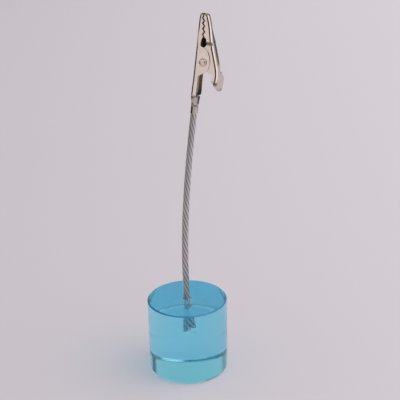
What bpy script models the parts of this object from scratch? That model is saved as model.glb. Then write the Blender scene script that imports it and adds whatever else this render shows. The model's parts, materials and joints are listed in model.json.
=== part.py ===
"""Desk memo holder: a clear blue acrylic block, a stiff wire-rope stem and a sprung toothed clip.

Lengths are in metres and angles in degrees. +Z is up, and the origin is the middle of the block's underside.
The clip is drawn upright about its pivot: +Z to the tip, +X from fixed to moving jaw, Y along the rivet.
"""

import math

import bmesh
import bpy
from mathutils import Matrix, Vector
from mathutils.geometry import interpolate_bezier

# Acrylic block
BLOCK_DIAMETER = 0.030
BLOCK_HEIGHT = 0.029
BLOCK_EDGE = 0.0003  # polished chamfer on both rims
BLOCK_SIDES = 96
BORE_DIAMETER = 0.0035
BORE_DEPTH = 0.012
DRILL_POINT = 118.0

# Wire-rope stem
ROPE_DIAMETER = 0.00223
ROPE_LAY = 0.018  # length of one turn of a strand
OUTER_STRANDS = 6
CORE_GAP = 0.00008  # between the core and the outer strands
STEM_RISE = 0.0734  # from the block's top to the clip's lower end
STEM_SWAY = 0.00436  # how far the stem's upper end stands off to +X
FOOT_LEAN = -2.58  # lean of the bore and of the stem's foot
CLIP_LEAN = 7.4
POINTS_A_TURN = 12

# Adhesive in the bore
ADHESIVE_GAP = 0.00005
ADHESIVE_FLOOR = 0.0006
ADHESIVE_CROWN = 0.0003  # how far it creeps up the stem above the block

# Clip
CLIP_TURN = 22.0  # turn of the clip about its own length
SHEET = 0.0003
NOSE_LENGTH = 0.01605  # pivot to tip
TAIL_LENGTH = 0.0185  # pivot to the crimp's lower end
ROPE_OFFSET = 0.0021  # rope axis behind the pivot
EAR_HALF_WIDTH = 0.0028
NOSE_HALF_WIDTH = 0.00145
TAIL_HALF_WIDTH = 0.0027
WIDE_TO = 0.0035  # the jaws are at full width up to here, and narrow from here to NARROW_FROM
NARROW_FROM = 0.013
JAW_BEND = 0.0006
FIXED_BACK = 0.00315  # pivot to the outside of the fixed jaw's web
NOSE_BACK = 0.00365  # the same at its nose
MOVING_BACK = 0.0045  # pivot to the outside of the moving jaw's web
NOSE_SLOPE = 18.2  # slant of the moving jaw's web to the clip's length
MOUTH_SLOPE = 7.3  # slant of the line where the teeth meet
TEETH = 4
TOOTH_PITCH = 0.00187
TOOTH_HEIGHT = 0.00056
TOOTH_LEAD = 0.0012  # tip to the first tooth
MOUTH_GAP = 0.00012
NOTCH_LENGTH = 0.0034  # wire notch behind the teeth
NOTCH_FIXED_DEPTH = 0.00085
NOTCH_MOVING_DEPTH = 0.0009
EAR_HALF_LENGTH = 0.0052
EAR_HEIGHT = 0.00225
INNER_EAR_RADIUS = 0.00175
SIDE_CLEARANCE = 0.0001
JOGGLE_LENGTH = 0.0014  # run in which the moving jaw steps in between the ears

# Tail and crimp
TAIL_WALL = 0.0017
CRIMP_EAR = 0.0030
CRIMP_NOTCH = 0.00035
CRIMP_GAP = 0.00006
CRIMP_WRAP = 165.0
CRIMP_STEP = 0.0018  # run of the channel in which it narrows and drops to the crimp

# Thumb lever
LEVER_WALL = 0.0019
LEVER_FROM = 0.0037  # the lever's low walls begin here behind the pivot
LEVER_CURVE = 0.0180
FLARE_LENGTH = 0.0025
PAD_HALF_WIDTH = 0.0046
PAD_ROUNDING = 0.0030
PAD_END = 0.0095
PAD_FOLD = -8.0  # the pad's sides turn up a little, away from the tail
PAD_FROM = 0.0050  # the pad's scoop begins here behind the pivot
PAD_CURVE = 0.0090

# Rivet
PIN_DIAMETER = 0.0015
PIN_CLEARANCE = 0.00006
RIVET_HEAD_DIAMETER = 0.0026
RIVET_HEAD_HEIGHT = 0.00042
RIVET_DIMPLE_DIAMETER = 0.0010
RIVET_DIMPLE_DEPTH = 0.00026
HEAD_GAP = 0.00005
ROUND_SIDES = 24  # facets of the rivet, the bores and the adhesive

# Torsion spring
SPRING_WIRE = 0.0005
SPRING_DIAMETER = 0.0028  # at the middle of the wire
SPRING_TURNS = 2  # whole turns, beside the part turn that the legs ask for
SPRING_SIDE_GAP = 0.00025
SPRING_LEG_GAP = 0.00006
FIXED_LEG_REACH = 0.0065
MOVING_LEG_REACH = 0.0055
CURL_POINTS = 10

BEND_STEPS = 5  # facets of each fold in the sheet
ROUTE_STEPS = 200
STEP_STATIONS = 4
NOTCH_STEPS = 6
EAR_STEPS = 12
INNER_EAR_STEPS = 8
FLARE_STEPS = 6
PAD_LAST_ANGLE = 78  # where the rounding of the pad stops short of a point
CUT_INSET = CRIMP_NOTCH / 8  # keeps the ends of a slope inside the notch that is cut there
SMOOTH_ANGLE = 35
SLIVER = 0.00005  # least run of a face, so that none closes up


def clear_scene():
    for thing in list(bpy.data.objects):
        bpy.data.objects.remove(thing, do_unlink=True)


def finish_material(name, colour, roughness, metallic, transmission=0.0):
    material = bpy.data.materials.new(name)
    material.use_nodes = True
    shader = material.node_tree.nodes["Principled BSDF"]
    shader.inputs["Base Color"].default_value = (*colour, 1.0)
    shader.inputs["Roughness"].default_value = roughness
    shader.inputs["Metallic"].default_value = metallic
    shader.inputs["Transmission Weight"].default_value = transmission
    return material


def add_object(name, data, material=None, parent=None):
    thing = bpy.data.objects.new(name, data)
    bpy.context.scene.collection.objects.link(thing)
    thing.parent = parent
    if material:
        data.materials.append(material)
    return thing


def add_mesh(name, shape, material=None, parent=None):
    """Turns a bmesh into an object with its faces pointing out."""
    bmesh.ops.recalc_face_normals(shape, faces=shape.faces)
    mesh = bpy.data.meshes.new(name)
    shape.to_mesh(mesh)
    shape.free()
    mesh.shade_smooth()
    mesh.set_sharp_from_angle(angle=math.radians(SMOOTH_ANGLE))
    return add_object(name, mesh, material, parent)


def turned(profile, sides):
    """A bmesh turned about Z from a profile of (radius, height), closed on itself if it starts off the axis."""
    shape = bmesh.new()
    points = [shape.verts.new((radius, 0, height)) for radius, height in profile]
    edges = [shape.edges.new(pair) for pair in zip(points, points[1:])]
    if profile[0][0] > 0:
        edges.append(shape.edges.new((points[-1], points[0])))
    bmesh.ops.spin(
        shape,
        geom=points + edges,
        cent=(0, 0, 0),
        axis=(0, 0, 1),
        angle=math.tau,
        steps=sides,
        use_merge=True,
    )
    bmesh.ops.remove_doubles(shape, verts=shape.verts, dist=SLIVER / 100)
    return shape


def box(low, high):
    shape = bmesh.new()
    size = Vector(high) - Vector(low)
    place = Matrix.Translation((Vector(low) + Vector(high)) / 2) @ Matrix.Diagonal((*size, 1))
    bmesh.ops.create_cube(shape, size=1, matrix=place)
    return shape


def cut(target, name, shape, parent=None, place=None):
    """Cuts a hidden cutter out of the target."""
    cutter = add_mesh(name, shape, parent=parent)
    cutter.matrix_local = place or Matrix()
    cutter.hide_render = True
    cutter.display_type = "WIRE"
    modifier = target.modifiers.new(name, "BOOLEAN")
    modifier.operation = "DIFFERENCE"
    modifier.solver = "EXACT"
    modifier.object = cutter


def add_wire(name, points, diameter, material, parent=None):
    """A round wire along a list of points, with closed ends."""
    curve = bpy.data.curves.new(name, "CURVE")
    curve.dimensions = "3D"
    curve.bevel_depth = diameter / 2
    curve.bevel_resolution = 1
    curve.use_fill_caps = True
    spline = curve.splines.new("POLY")
    spline.points.add(len(points) - 1)
    for knot, point in zip(spline.points, points):
        knot.co = (*point, 1)
    return add_object(name, curve, material, parent)


def eased(start, end, begin, finish, at):
    """Goes smoothly from start, where at is begin, to end, where at is finish."""
    share = min(1.0, max(0.0, (at - begin) / (finish - begin)))
    return start + (end - start) * share * share * (3 - 2 * share)


def even_steps(begin, end, count):
    return [begin + (end - begin) * step / count for step in range(count + 1)]


# The block and what is in its bore
def bore_place():
    """The bore's frame: its mouth in the middle of the block's top, leaning with the stem's foot."""
    lean = Matrix.Rotation(math.radians(FOOT_LEAN), 4, "Y")
    return Matrix.Translation((0, 0, BLOCK_HEIGHT)) @ lean


def drill_point(radius):
    return radius / math.tan(math.radians(DRILL_POINT / 2))


def make_block(material):
    radius = BLOCK_DIAMETER / 2
    block = add_mesh(
        "acrylic_base",
        turned(
            [
                (0, 0),
                (radius - BLOCK_EDGE, 0),
                (radius, BLOCK_EDGE),
                (radius, BLOCK_HEIGHT - BLOCK_EDGE),
                (radius - BLOCK_EDGE, BLOCK_HEIGHT),
                (0, BLOCK_HEIGHT),
            ],
            BLOCK_SIDES,
        ),
        material,
    )
    bore = BORE_DIAMETER / 2
    drill = turned(
        [(0, -BORE_DEPTH - drill_point(bore)), (bore, -BORE_DEPTH), (bore, BORE_DIAMETER), (0, BORE_DIAMETER)],
        ROUND_SIDES,
    )
    cut(block, "bore_cutter", drill, place=bore_place())


def make_adhesive(material):
    """A cup of set adhesive that fills the bore around and under the rope, and creeps up the stem a little."""
    outside = BORE_DIAMETER / 2 - ADHESIVE_GAP
    inside = ROPE_DIAMETER / 2 + ADHESIVE_GAP
    bottom = -BORE_DEPTH + ADHESIVE_GAP
    adhesive = add_mesh(
        "rope_adhesive",
        turned(
            [
                (0, bottom - drill_point(outside) + ADHESIVE_GAP),
                (outside, bottom),
                (outside, 0),
                ((outside + inside) / 2, ADHESIVE_CROWN / 3),
                (inside, ADHESIVE_CROWN),
                (inside, bottom + ADHESIVE_FLOOR),
                (0, bottom + ADHESIVE_FLOOR),
            ],
            ROUND_SIDES,
        ),
        material,
    )
    adhesive.matrix_world = bore_place()


# The rope
def lean_direction(lean):
    return Vector((math.sin(math.radians(lean)), 0, math.cos(math.radians(lean))))


def stem_top():
    return Vector((STEM_SWAY, 0, BLOCK_HEIGHT + STEM_RISE))


def rope_route():
    """Points along the rope's axis, evenly spaced from its end in the bore to its end in the crimp."""
    foot = Vector((0, 0, BLOCK_HEIGHT))
    top = stem_top()
    handle = (top - foot).length / 3
    below = lean_direction(FOOT_LEAN)
    above = lean_direction(CLIP_LEAN)
    bow = interpolate_bezier(foot, foot + below * handle, top - above * handle, top, ROUTE_STEPS)
    sunk = BORE_DEPTH - ADHESIVE_FLOOR - 2 * ADHESIVE_GAP
    gripped = 2 * CRIMP_EAR + CRIMP_NOTCH - CRIMP_GAP
    path = [foot - below * sunk, *bow, top + above * gripped]
    length = sum((after - before).length for before, after in zip(path, path[1:]))
    count = round(length / ROPE_LAY * POINTS_A_TURN)
    return [point_at(path, length * step / count) for step in range(count + 1)]


def point_at(path, distance):
    """The point and the direction of travel at a distance along a path."""
    for before, after in zip(path, path[1:]):
        run = (after - before).length
        if distance <= run or after is path[-1]:
            return before.lerp(after, distance / run), (after - before).normalized()
        distance -= run


def strand_sizes():
    """The strand's diameter and the radius at which the outer strands wind."""
    strand = (ROPE_DIAMETER / 2 - CORE_GAP) / 3
    return 2 * strand, ROPE_DIAMETER / 2 - strand


def make_rope(material):
    """Six strands in a left-hand lay around a straight one."""
    strand, winding = strand_sizes()
    route = rope_route()
    middle = [point for point, direction in route]
    add_wire("rope_core", middle, strand, material)
    across = Vector((0, 1, 0))
    for number in range(OUTER_STRANDS):
        points = []
        for step, (point, direction) in enumerate(route):
            turn = math.tau * (number / OUTER_STRANDS - step / POINTS_A_TURN)
            aside = across.cross(direction)
            points.append(point + winding * (aside * math.cos(turn) + across * math.sin(turn)))
        add_wire(f"rope_strand_{number + 1}", points, strand, material)


# The clip's sheet-metal jaws
def clip_place():
    """The clip's frame at its pivot, set so that its crimp closes on the stem's upper end."""
    lean = Matrix.Rotation(math.radians(CLIP_LEAN), 4, "Y")
    turn = lean @ Matrix.Rotation(math.radians(-CLIP_TURN), 4, "Z")
    pivot = stem_top() - turn @ Vector((-ROPE_OFFSET, 0, -TAIL_LENGTH))
    return Matrix.Translation(pivot) @ turn


def fold_section(half_width, bend, fold, wall, made_at=90):
    """Outer and inner points (y, depth) of a folded strip's half, from the middle of its web to its free edge.

    The bend has its outer radius where the fold is made_at, and keeps its length as the strip unfolds.
    """
    step = 2 * bend * math.sin(math.radians(made_at) / BEND_STEPS / 2)
    y = max(half_width - bend, SLIVER)
    depth = 0
    outer = [(0, 0), (y, 0)]
    inner = [(0, SHEET), (y, SHEET)]
    for number in range(1, BEND_STEPS + 2):
        heading = math.radians(fold) * min(1, (number - 0.5) / BEND_STEPS)
        facing = math.radians(fold) * min(1, number / BEND_STEPS)
        run = step if number <= BEND_STEPS else max(wall, SLIVER)
        y += run * math.cos(heading)
        depth += run * math.sin(heading)
        outer.append((y, depth))
        inner.append((y - SHEET * math.sin(facing), depth + SHEET * math.cos(facing)))
    return outer, inner


def folded_strip(stations, facing):
    """A bmesh of folded sheet: stations of (height, web, section) from tip to tail, walls towards facing."""
    shape = bmesh.new()
    rings = []
    for height, web, (outer, inner) in stations:
        far = [(y, depth) for y, depth in outer]
        near = [(-y, depth) for y, depth in outer[:0:-1]]
        inside_far = [(y, depth) for y, depth in inner[::-1]]
        inside_near = [(-y, depth) for y, depth in inner[1:]]
        ring = near + far + inside_far + inside_near
        rings.append([shape.verts.new((web + facing * depth, y, height)) for y, depth in ring])
    around = len(rings[0])
    for ring, after in zip(rings, rings[1:]):
        for spot in range(around):
            beside = (spot + 1) % around
            shape.faces.new((ring[spot], ring[beside], after[beside], after[spot]))
    for ring in (rings[0], rings[-1]):
        for spot in range(around // 2 - 1):
            mate = around - 1 - spot
            shape.faces.new((ring[spot], ring[spot + 1], ring[mate - 1], ring[mate]))
    return shape


def teeth_end():
    """Height of the last tooth, at the notch."""
    return NOSE_LENGTH - TOOTH_LEAD - (TEETH - 0.5) * TOOTH_PITCH


def mouth(height):
    return -height * math.tan(math.radians(MOUTH_SLOPE))


def tooth_line():
    """Points (height, x) of the zigzag where the teeth meet, from the tip back."""
    points = [(NOSE_LENGTH, mouth(NOSE_LENGTH))]
    for step in range(2 * TEETH):
        height = NOSE_LENGTH - TOOTH_LEAD - step * TOOTH_PITCH / 2
        side = 1 if step % 2 else -1
        points.append((height, mouth(height) + side * TOOTH_HEIGHT / 2))
    return points


def notch_end():
    return teeth_end() - SLIVER - NOTCH_LENGTH


def notch_line(depth):
    """Points (height, x) of the notch behind the teeth, which goes depth away from the mouth line."""
    middle = notch_end() + NOTCH_LENGTH / 2
    points = []
    for angle in even_steps(0, 180, NOTCH_STEPS):
        height = middle + NOTCH_LENGTH / 2 * math.cos(math.radians(angle))
        points.append((height, mouth(height) + depth * math.sin(math.radians(angle))))
    return points


def jaw_half_width(height):
    if height > 0:
        return eased(EAR_HALF_WIDTH, NOSE_HALF_WIDTH, WIDE_TO, NARROW_FROM, height)
    low = channel_end()
    if height > low + CRIMP_STEP:
        return eased(EAR_HALF_WIDTH, TAIL_HALF_WIDTH, -EAR_HALF_LENGTH, low + CRIMP_STEP, height)
    return eased(crimp_radius() + SHEET, TAIL_HALF_WIDTH, low, low + CRIMP_STEP, height)


def channel_end():
    """Height of the lower end of the tail's side walls."""
    return -TAIL_LENGTH + 2 * CRIMP_EAR + 2 * CRIMP_NOTCH


def crimp_radius():
    return ROPE_DIAMETER / 2 + CRIMP_GAP + SHEET


def fixed_web(height):
    """Outside of the fixed jaw's web: it stands out a little at the nose and drops to the crimp at the tail."""
    if height > 0:
        return -eased(FIXED_BACK, NOSE_BACK, WIDE_TO, NARROW_FROM, height)
    low = channel_end()
    return -eased(ROPE_OFFSET + crimp_radius() - SHEET, FIXED_BACK, low, low + CRIMP_STEP, height)


def upright_section(height, web, edge, half_width):
    """A channel with square walls that reach from the web to the edge."""
    return height, web, fold_section(half_width, JAW_BEND, 90, abs(edge - web) - JAW_BEND)


def ear_line():
    """Points (height, x) over the fixed jaw's rounded ear, from the nose side to the tail side."""
    foot = TAIL_WALL - FIXED_BACK
    begin = math.acos(min(1.0, (notch_end() - SLIVER) / EAR_HALF_LENGTH))
    points = []
    for angle in even_steps(begin, math.pi, EAR_STEPS):
        height = EAR_HALF_LENGTH * math.cos(angle)
        points.append((height, foot + (EAR_HEIGHT - foot) * math.sin(angle)))
    return points


def make_fixed_jaw(material, clip):
    """One strip of sheet: toothed nose, two ears for the rivet, a channel tail and two crimps."""
    front = tooth_line() + notch_line(-NOTCH_FIXED_DEPTH)
    edge = [(height, x - MOUTH_GAP / 2) for height, x in front] + ear_line()
    low = channel_end() - CUT_INSET
    for height in even_steps(low + CRIMP_STEP, low, STEP_STATIONS):
        edge.append((height, fixed_web(height) + TAIL_WALL))
    stations = [upright_section(height, fixed_web(height), x, jaw_half_width(height)) for height, x in edge]
    radius = crimp_radius()
    crimp = fold_section(radius + SLIVER, radius, CRIMP_WRAP, 0, CRIMP_WRAP)
    crimp_web = -ROPE_OFFSET - radius
    crimp_top = channel_end() - CRIMP_NOTCH
    stations += [(crimp_top + CUT_INSET, crimp_web, crimp), (-TAIL_LENGTH, crimp_web, crimp)]
    jaw = add_mesh("fixed_jaw", folded_strip(stations, 1), material, clip)
    notch_low = (-ROPE_OFFSET - radius / 2, -2 * EAR_HALF_WIDTH)
    notch_high = (EAR_HEIGHT, 2 * EAR_HALF_WIDTH)
    for number, top in enumerate((channel_end(), crimp_top - CRIMP_EAR), 1):
        notch = box((*notch_low, top - CRIMP_NOTCH), (*notch_high, top))
        cut(jaw, f"crimp_notch_cutter_{number}", notch, clip)
    cut(jaw, "fixed_pivot_cutter", pivot_drill(), clip, pivot_turn())


def lever_web(height):
    """Outside of the moving jaw's web: straight on the nose, bowed along the lever and scooped at the pad."""
    web = MOVING_BACK - height * math.tan(math.radians(NOSE_SLOPE))
    if height < 0:
        web -= height**2 / (2 * LEVER_CURVE)
    if height < -PAD_FROM:
        web += (height + PAD_FROM) ** 2 / (2 * PAD_CURVE)
    return web


def moving_half_width(height):
    """The nose is as wide as the fixed jaw's, and the rest steps in to run between the ears."""
    if height < 0:
        return EAR_HALF_WIDTH - SHEET - SIDE_CLEARANCE
    joggle_to = EAR_HALF_LENGTH + SHEET
    step = eased(SHEET + SIDE_CLEARANCE, 0, joggle_to, joggle_to + JOGGLE_LENGTH, height)
    return jaw_half_width(height) - step


def inner_ear_line():
    """Points (height, x) round the part of the moving jaw's wall that turns on the rivet."""
    points = [(INNER_EAR_RADIUS + SLIVER, 0)]
    for angle in even_steps(0, 180, INNER_EAR_STEPS):
        height = INNER_EAR_RADIUS * math.cos(math.radians(angle))
        points.append((height, -SLIVER - INNER_EAR_RADIUS * math.sin(math.radians(angle))))
    points.append((-INNER_EAR_RADIUS - SLIVER, 0))
    return points


def lever_sections():
    """Sections of the lever, whose low walls unfold into the wide thumb pad and round off at its end."""
    half_width = moving_half_width(-LEVER_FROM)
    flat = half_width - JAW_BEND
    bend_run = JAW_BEND * math.pi / 2
    start = flat + bend_run + LEVER_WALL - JAW_BEND
    flare_end = -LEVER_FROM - FLARE_LENGTH
    rounding = -PAD_END + PAD_ROUNDING
    heights = even_steps(-LEVER_FROM, flare_end, FLARE_STEPS)
    for angle in even_steps(0, PAD_LAST_ANGLE, FLARE_STEPS):
        height = rounding - PAD_ROUNDING * math.sin(math.radians(angle))
        if height < flare_end - SLIVER:
            heights.append(height)
    stations = []
    for height in heights:
        fold = eased(90, PAD_FOLD, -LEVER_FROM, flare_end, height)
        spread = eased(start, PAD_HALF_WIDTH, -LEVER_FROM, flare_end, height)
        past = max(0.0, rounding - height) / PAD_ROUNDING
        share = math.sqrt(1 - past**2)
        wall = (spread - flat - bend_run) * share
        section = fold_section(flat * share + JAW_BEND, JAW_BEND * share, fold, wall)
        stations.append((height, lever_web(height), section))
    return stations


def make_moving_jaw(material, clip):
    """One strip of sheet: toothed nose, inner ears on the rivet, and a thumb lever that ends in a wide pad."""
    front = tooth_line() + notch_line(NOTCH_MOVING_DEPTH)
    edge = [(height, x + MOUTH_GAP / 2) for height, x in front] + inner_ear_line()
    edge.append((-LEVER_FROM + 2 * SHEET, lever_web(-LEVER_FROM) - 2 * LEVER_WALL))
    stations = [upright_section(height, lever_web(height), x, moving_half_width(height)) for height, x in edge]
    stations += lever_sections()
    jaw = add_mesh("moving_jaw", folded_strip(stations, -1), material, clip)
    cut(jaw, "moving_pivot_cutter", pivot_drill(), clip, pivot_turn())


# The pivot
def pivot_turn():
    return Matrix.Rotation(math.radians(90), 4, "X")


def pivot_drill():
    radius = PIN_DIAMETER / 2 + PIN_CLEARANCE
    reach = 2 * EAR_HALF_WIDTH
    return turned([(0, -reach), (radius, -reach), (radius, reach), (0, reach)], ROUND_SIDES)


def make_rivet(material, clip):
    """A pin with a rolled, dimpled head on each side of the ears."""
    seat = EAR_HALF_WIDTH + HEAD_GAP
    head = RIVET_HEAD_DIAMETER / 2
    crest = seat + RIVET_HEAD_HEIGHT
    dimple = RIVET_DIMPLE_DIAMETER / 2
    half = [
        (PIN_DIAMETER / 2, seat),
        (head, seat),
        (head, seat + RIVET_HEAD_HEIGHT / 3),
        ((head + dimple) / 2, crest),
        (dimple, crest),
        (dimple / 2, crest - RIVET_DIMPLE_DEPTH),
        (0, crest - RIVET_DIMPLE_DEPTH),
    ]
    profile = [(radius, -height) for radius, height in half[::-1]] + half
    rivet = add_mesh("pivot_rivet", turned(profile, ROUND_SIDES), material, clip)
    rivet.matrix_local = pivot_turn()


def tangent_angle(x, height, radius, side):
    """Angle on the coil, from +X towards +Z, where a straight leg from (x, height) meets it."""
    return math.atan2(height, x) + side * math.acos(radius / math.hypot(x, height))


def spring_points():
    """A torsion coil round the rivet, from a leg on the fixed jaw's web to a leg on the moving jaw's web."""
    coil = SPRING_DIAMETER / 2
    off_web = SHEET + SPRING_LEG_GAP + SPRING_WIRE / 2
    fixed_leg = (off_web - FIXED_BACK, -FIXED_LEG_REACH)
    moving_leg = (lever_web(-MOVING_LEG_REACH) - off_web, -MOVING_LEG_REACH)
    begin = tangent_angle(*fixed_leg, coil, -1)
    end = tangent_angle(*moving_leg, coil, 1)
    wound = (begin - end) % math.tau + math.tau * SPRING_TURNS
    side = moving_half_width(0) - SHEET - SPRING_SIDE_GAP - SPRING_WIRE / 2
    curls = []
    for share in even_steps(0, 1, round(wound / math.tau * CURL_POINTS)):
        angle = begin - wound * share
        curls.append(Vector((coil * math.cos(angle), side * (2 * share - 1), coil * math.sin(angle))))
    print_least_gap(curls)
    first = Vector((fixed_leg[0], -side, fixed_leg[1]))
    last = Vector((moving_leg[0], side, moving_leg[1]))
    return [first, *curls, last]


def print_least_gap(curls):
    apart = min(
        (one - other).length
        for place, one in enumerate(curls)
        for other in curls[place + CURL_POINTS // 2 + 1 :]
    )
    print(f"jaw_spring: least gap between curls {1000 * (apart - SPRING_WIRE):.2f} mm")


def main():
    clear_scene()
    acrylic = finish_material("blue_acrylic", (0.28, 0.62, 0.78), 0.03, 0.0, 1.0)
    adhesive = finish_material("set_adhesive", (0.72, 0.76, 0.78), 0.35, 0.0, 0.4)
    steel = finish_material("rope_steel", (0.50, 0.50, 0.50), 0.32, 1.0)
    nickel = finish_material("nickel_plate", (0.72, 0.68, 0.65), 0.22, 1.0)
    spring_steel = finish_material("spring_steel", (0.42, 0.41, 0.40), 0.30, 1.0)
    rivet_steel = finish_material("rivet_steel", (0.66, 0.64, 0.62), 0.25, 1.0)
    make_block(acrylic)
    make_adhesive(adhesive)
    make_rope(steel)
    clip = add_object("clip", None)
    clip.matrix_world = clip_place()
    make_fixed_jaw(nickel, clip)
    make_moving_jaw(nickel, clip)
    make_rivet(rivet_steel, clip)
    add_wire("jaw_spring", spring_points(), SPRING_WIRE, spring_steel, clip)


main()
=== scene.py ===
import json
import math

import bmesh
import bpy
import numpy as np
from mathutils import Matrix, Vector


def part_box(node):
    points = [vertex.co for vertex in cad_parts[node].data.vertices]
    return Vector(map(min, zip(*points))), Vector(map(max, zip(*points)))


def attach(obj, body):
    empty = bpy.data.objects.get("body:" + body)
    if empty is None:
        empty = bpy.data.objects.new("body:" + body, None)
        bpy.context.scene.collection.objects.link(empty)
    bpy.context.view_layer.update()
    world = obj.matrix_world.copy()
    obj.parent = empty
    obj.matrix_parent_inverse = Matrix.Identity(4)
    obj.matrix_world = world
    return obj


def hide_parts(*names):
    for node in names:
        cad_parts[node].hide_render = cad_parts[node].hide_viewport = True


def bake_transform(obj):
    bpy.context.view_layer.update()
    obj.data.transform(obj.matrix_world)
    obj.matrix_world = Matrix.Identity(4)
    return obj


# Desk memo holder: clear blue block, wire-rope stem, sprung toothed clip. Metres, +Z up.
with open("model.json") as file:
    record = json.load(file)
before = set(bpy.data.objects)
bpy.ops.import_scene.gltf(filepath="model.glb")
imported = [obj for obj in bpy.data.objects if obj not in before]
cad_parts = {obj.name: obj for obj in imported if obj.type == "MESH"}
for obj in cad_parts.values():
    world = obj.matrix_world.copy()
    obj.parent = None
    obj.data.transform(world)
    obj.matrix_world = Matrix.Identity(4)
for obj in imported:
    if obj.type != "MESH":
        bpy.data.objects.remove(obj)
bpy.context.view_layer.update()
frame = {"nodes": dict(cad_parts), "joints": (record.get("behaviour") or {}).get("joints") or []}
scene = bpy.context.scene
scene.view_settings.view_transform = "Standard"
print("frame loaded:", len(frame["nodes"]), "nodes")


# Shader maths: a Wire is a node's output, and sums on wires add Math nodes
class Wire:
    def __init__(self, finish, socket):
        self.finish = finish
        self.socket = socket

    def calc(self, operation, first, second=0.0):
        return self.finish.node("ShaderNodeMath", {"operation": operation}, {0: first, 1: second})

    def __add__(self, other):
        return self.calc("ADD", self, other)

    def __radd__(self, other):
        return self.calc("ADD", other, self)

    def __sub__(self, other):
        return self.calc("SUBTRACT", self, other)

    def __rsub__(self, other):
        return self.calc("SUBTRACT", other, self)

    def __mul__(self, other):
        return self.calc("MULTIPLY", self, other)

    def __rmul__(self, other):
        return self.calc("MULTIPLY", other, self)

    def sine(self):
        return self.calc("SINE", self)


class Finish:
    def __init__(self, owner):
        owner.use_nodes = True
        self.owner = owner
        self.tree = owner.node_tree
        self.tree.nodes.clear()

    # any node: its type, its settings, then the values or links of its sockets
    def node(self, kind, settings=None, sockets=None, out=0):
        made = self.tree.nodes.new(kind)
        for key, value in (settings or {}).items():
            if key == "stops":
                self.setStops(made.color_ramp, value)
            else:
                setattr(made, key, value)
        for key, value in (sockets or {}).items():
            if isinstance(value, Wire):
                self.tree.links.new(value.socket, made.inputs[key])
            else:
                made.inputs[key].default_value = value
        return Wire(self, made.outputs[out]) if len(made.outputs) else made

    def setStops(self, ramp, stops):
        for element, (place, level) in zip(ramp.elements, stops):
            element.position = place
            element.color = (level, level, level, 1)

    def objectPlace(self):
        return self.node("ShaderNodeTexCoord", out=3)

    def surfacePlace(self):
        return self.node("ShaderNodeTexCoord", out=2)

    # one coordinate of a place: 0, 1 and 2 are x, y and z
    def coordinate(self, place, axis):
        return self.node("ShaderNodeSeparateXYZ", None, {0: place}, out=axis)

    def attribute(self, name):
        return self.node("ShaderNodeAttribute", {"attribute_name": name}, out=2)

    def stretched(self, place, scale):
        return self.node("ShaderNodeMapping", None, {0: place, 3: scale})

    def noise(self, place, scale, detail=3.0, rough=0.55):
        sockets = {"Vector": place, "Scale": scale, "Detail": detail, "Roughness": rough}
        return self.node("ShaderNodeTexNoise", None, sockets)

    # 0 where the factor is low or less, 1 where it is high or more
    def ramp(self, factor, low, high):
        return self.node("ShaderNodeValToRGB", {"stops": [(low, 0.0), (high, 1.0)]}, {0: factor})

    def colours(self, factor, first, second):
        return self.node("ShaderNodeMix", {"data_type": "RGBA"}, {0: factor, 6: first, 7: second}, out=2)

    def bump(self, height, distance, strength=1.0):
        sockets = {"Strength": strength, "Distance": distance, "Height": height}
        return self.node("ShaderNodeBump", None, sockets)

    def principled(self, sockets):
        return self.node("ShaderNodeBsdfPrincipled", None, sockets)

    def mixed(self, factor, first, second):
        return self.node("ShaderNodeMixShader", None, {0: factor, 1: first, 2: second})

    def transparent(self, colour=(1.0, 1.0, 1.0, 1.0)):
        return self.node("ShaderNodeBsdfTransparent", None, {0: colour})

    def output(self, surface, volume=None):
        sockets = {"Surface": surface}
        if volume:
            sockets["Volume"] = volume
        kind = "World" if isinstance(self.owner, bpy.types.World) else "Material"
        self.node("ShaderNodeOutput" + kind, None, sockets)
        return self.owner


def newFinish(name):
    return Finish(bpy.data.materials.new(name))


# Finishes
def tint(red, green, blue):
    return (red, green, blue, 1.0)


adhesiveLook = {
    "index": 1.45,
    "clear": tint(0.86, 0.93, 0.97),
    "cloud": tint(0.74, 0.80, 0.83),
    "bubbles": 1700.0,
    "bubbleDepth": 0.0001,
    "cloudSpan": (0.46, 0.66),
    "cloudShare": 0.55,
    "leastCloud": 0.05,
    "cloudStays": 0.35,  # the share of the cloud that still shows where it wets the bore
    "clearRough": 0.08,
    "bubbleRough": 0.25,
    "cloudRough": 0.35,
    "wetTo": 0.0245,  # the height up to which it wets the bore
    "wetLumps": 900.0,
    "wetRagged": 1.2,
    "wetSharp": 900.0,  # per metre
    "wetSpan": (0.2, 0.8),
}


def wetted(f, place, share):
    # the share where the adhesive has run against the bore, and 0 above a ragged limit
    look = adhesiveLook
    ragged = f.noise(place, look["wetLumps"]) * look["wetRagged"] - look["wetRagged"] / 2
    below = look["wetTo"] - f.coordinate(place, 2)
    return f.ramp(below * look["wetSharp"] + ragged, *look["wetSpan"]) * share


def setAdhesive():
    look = adhesiveLook
    f = newFinish("set_adhesive")
    place = f.objectPlace()
    cloud = f.ramp(f.noise(place, look["bubbles"], 4.0), *look["cloudSpan"])
    clear = f.principled({
        "Base Color": look["clear"],
        "Roughness": look["clearRough"] + cloud * look["bubbleRough"],
        "IOR": look["index"],
        "Transmission Weight": 1.0,
        "Normal": f.bump(f.noise(place, look["bubbles"] * 0.6), look["bubbleDepth"]),
    })
    milky = f.principled({
        "Base Color": look["cloud"],
        "Roughness": look["cloudRough"],
    })
    skin = f.mixed(cloud * look["cloudShare"] + look["leastCloud"], clear, milky)
    sunk = wetted(f, place, 1.0 - cloud * look["cloudStays"])
    return f.output(f.mixed(sunk, skin, f.transparent()))


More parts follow.
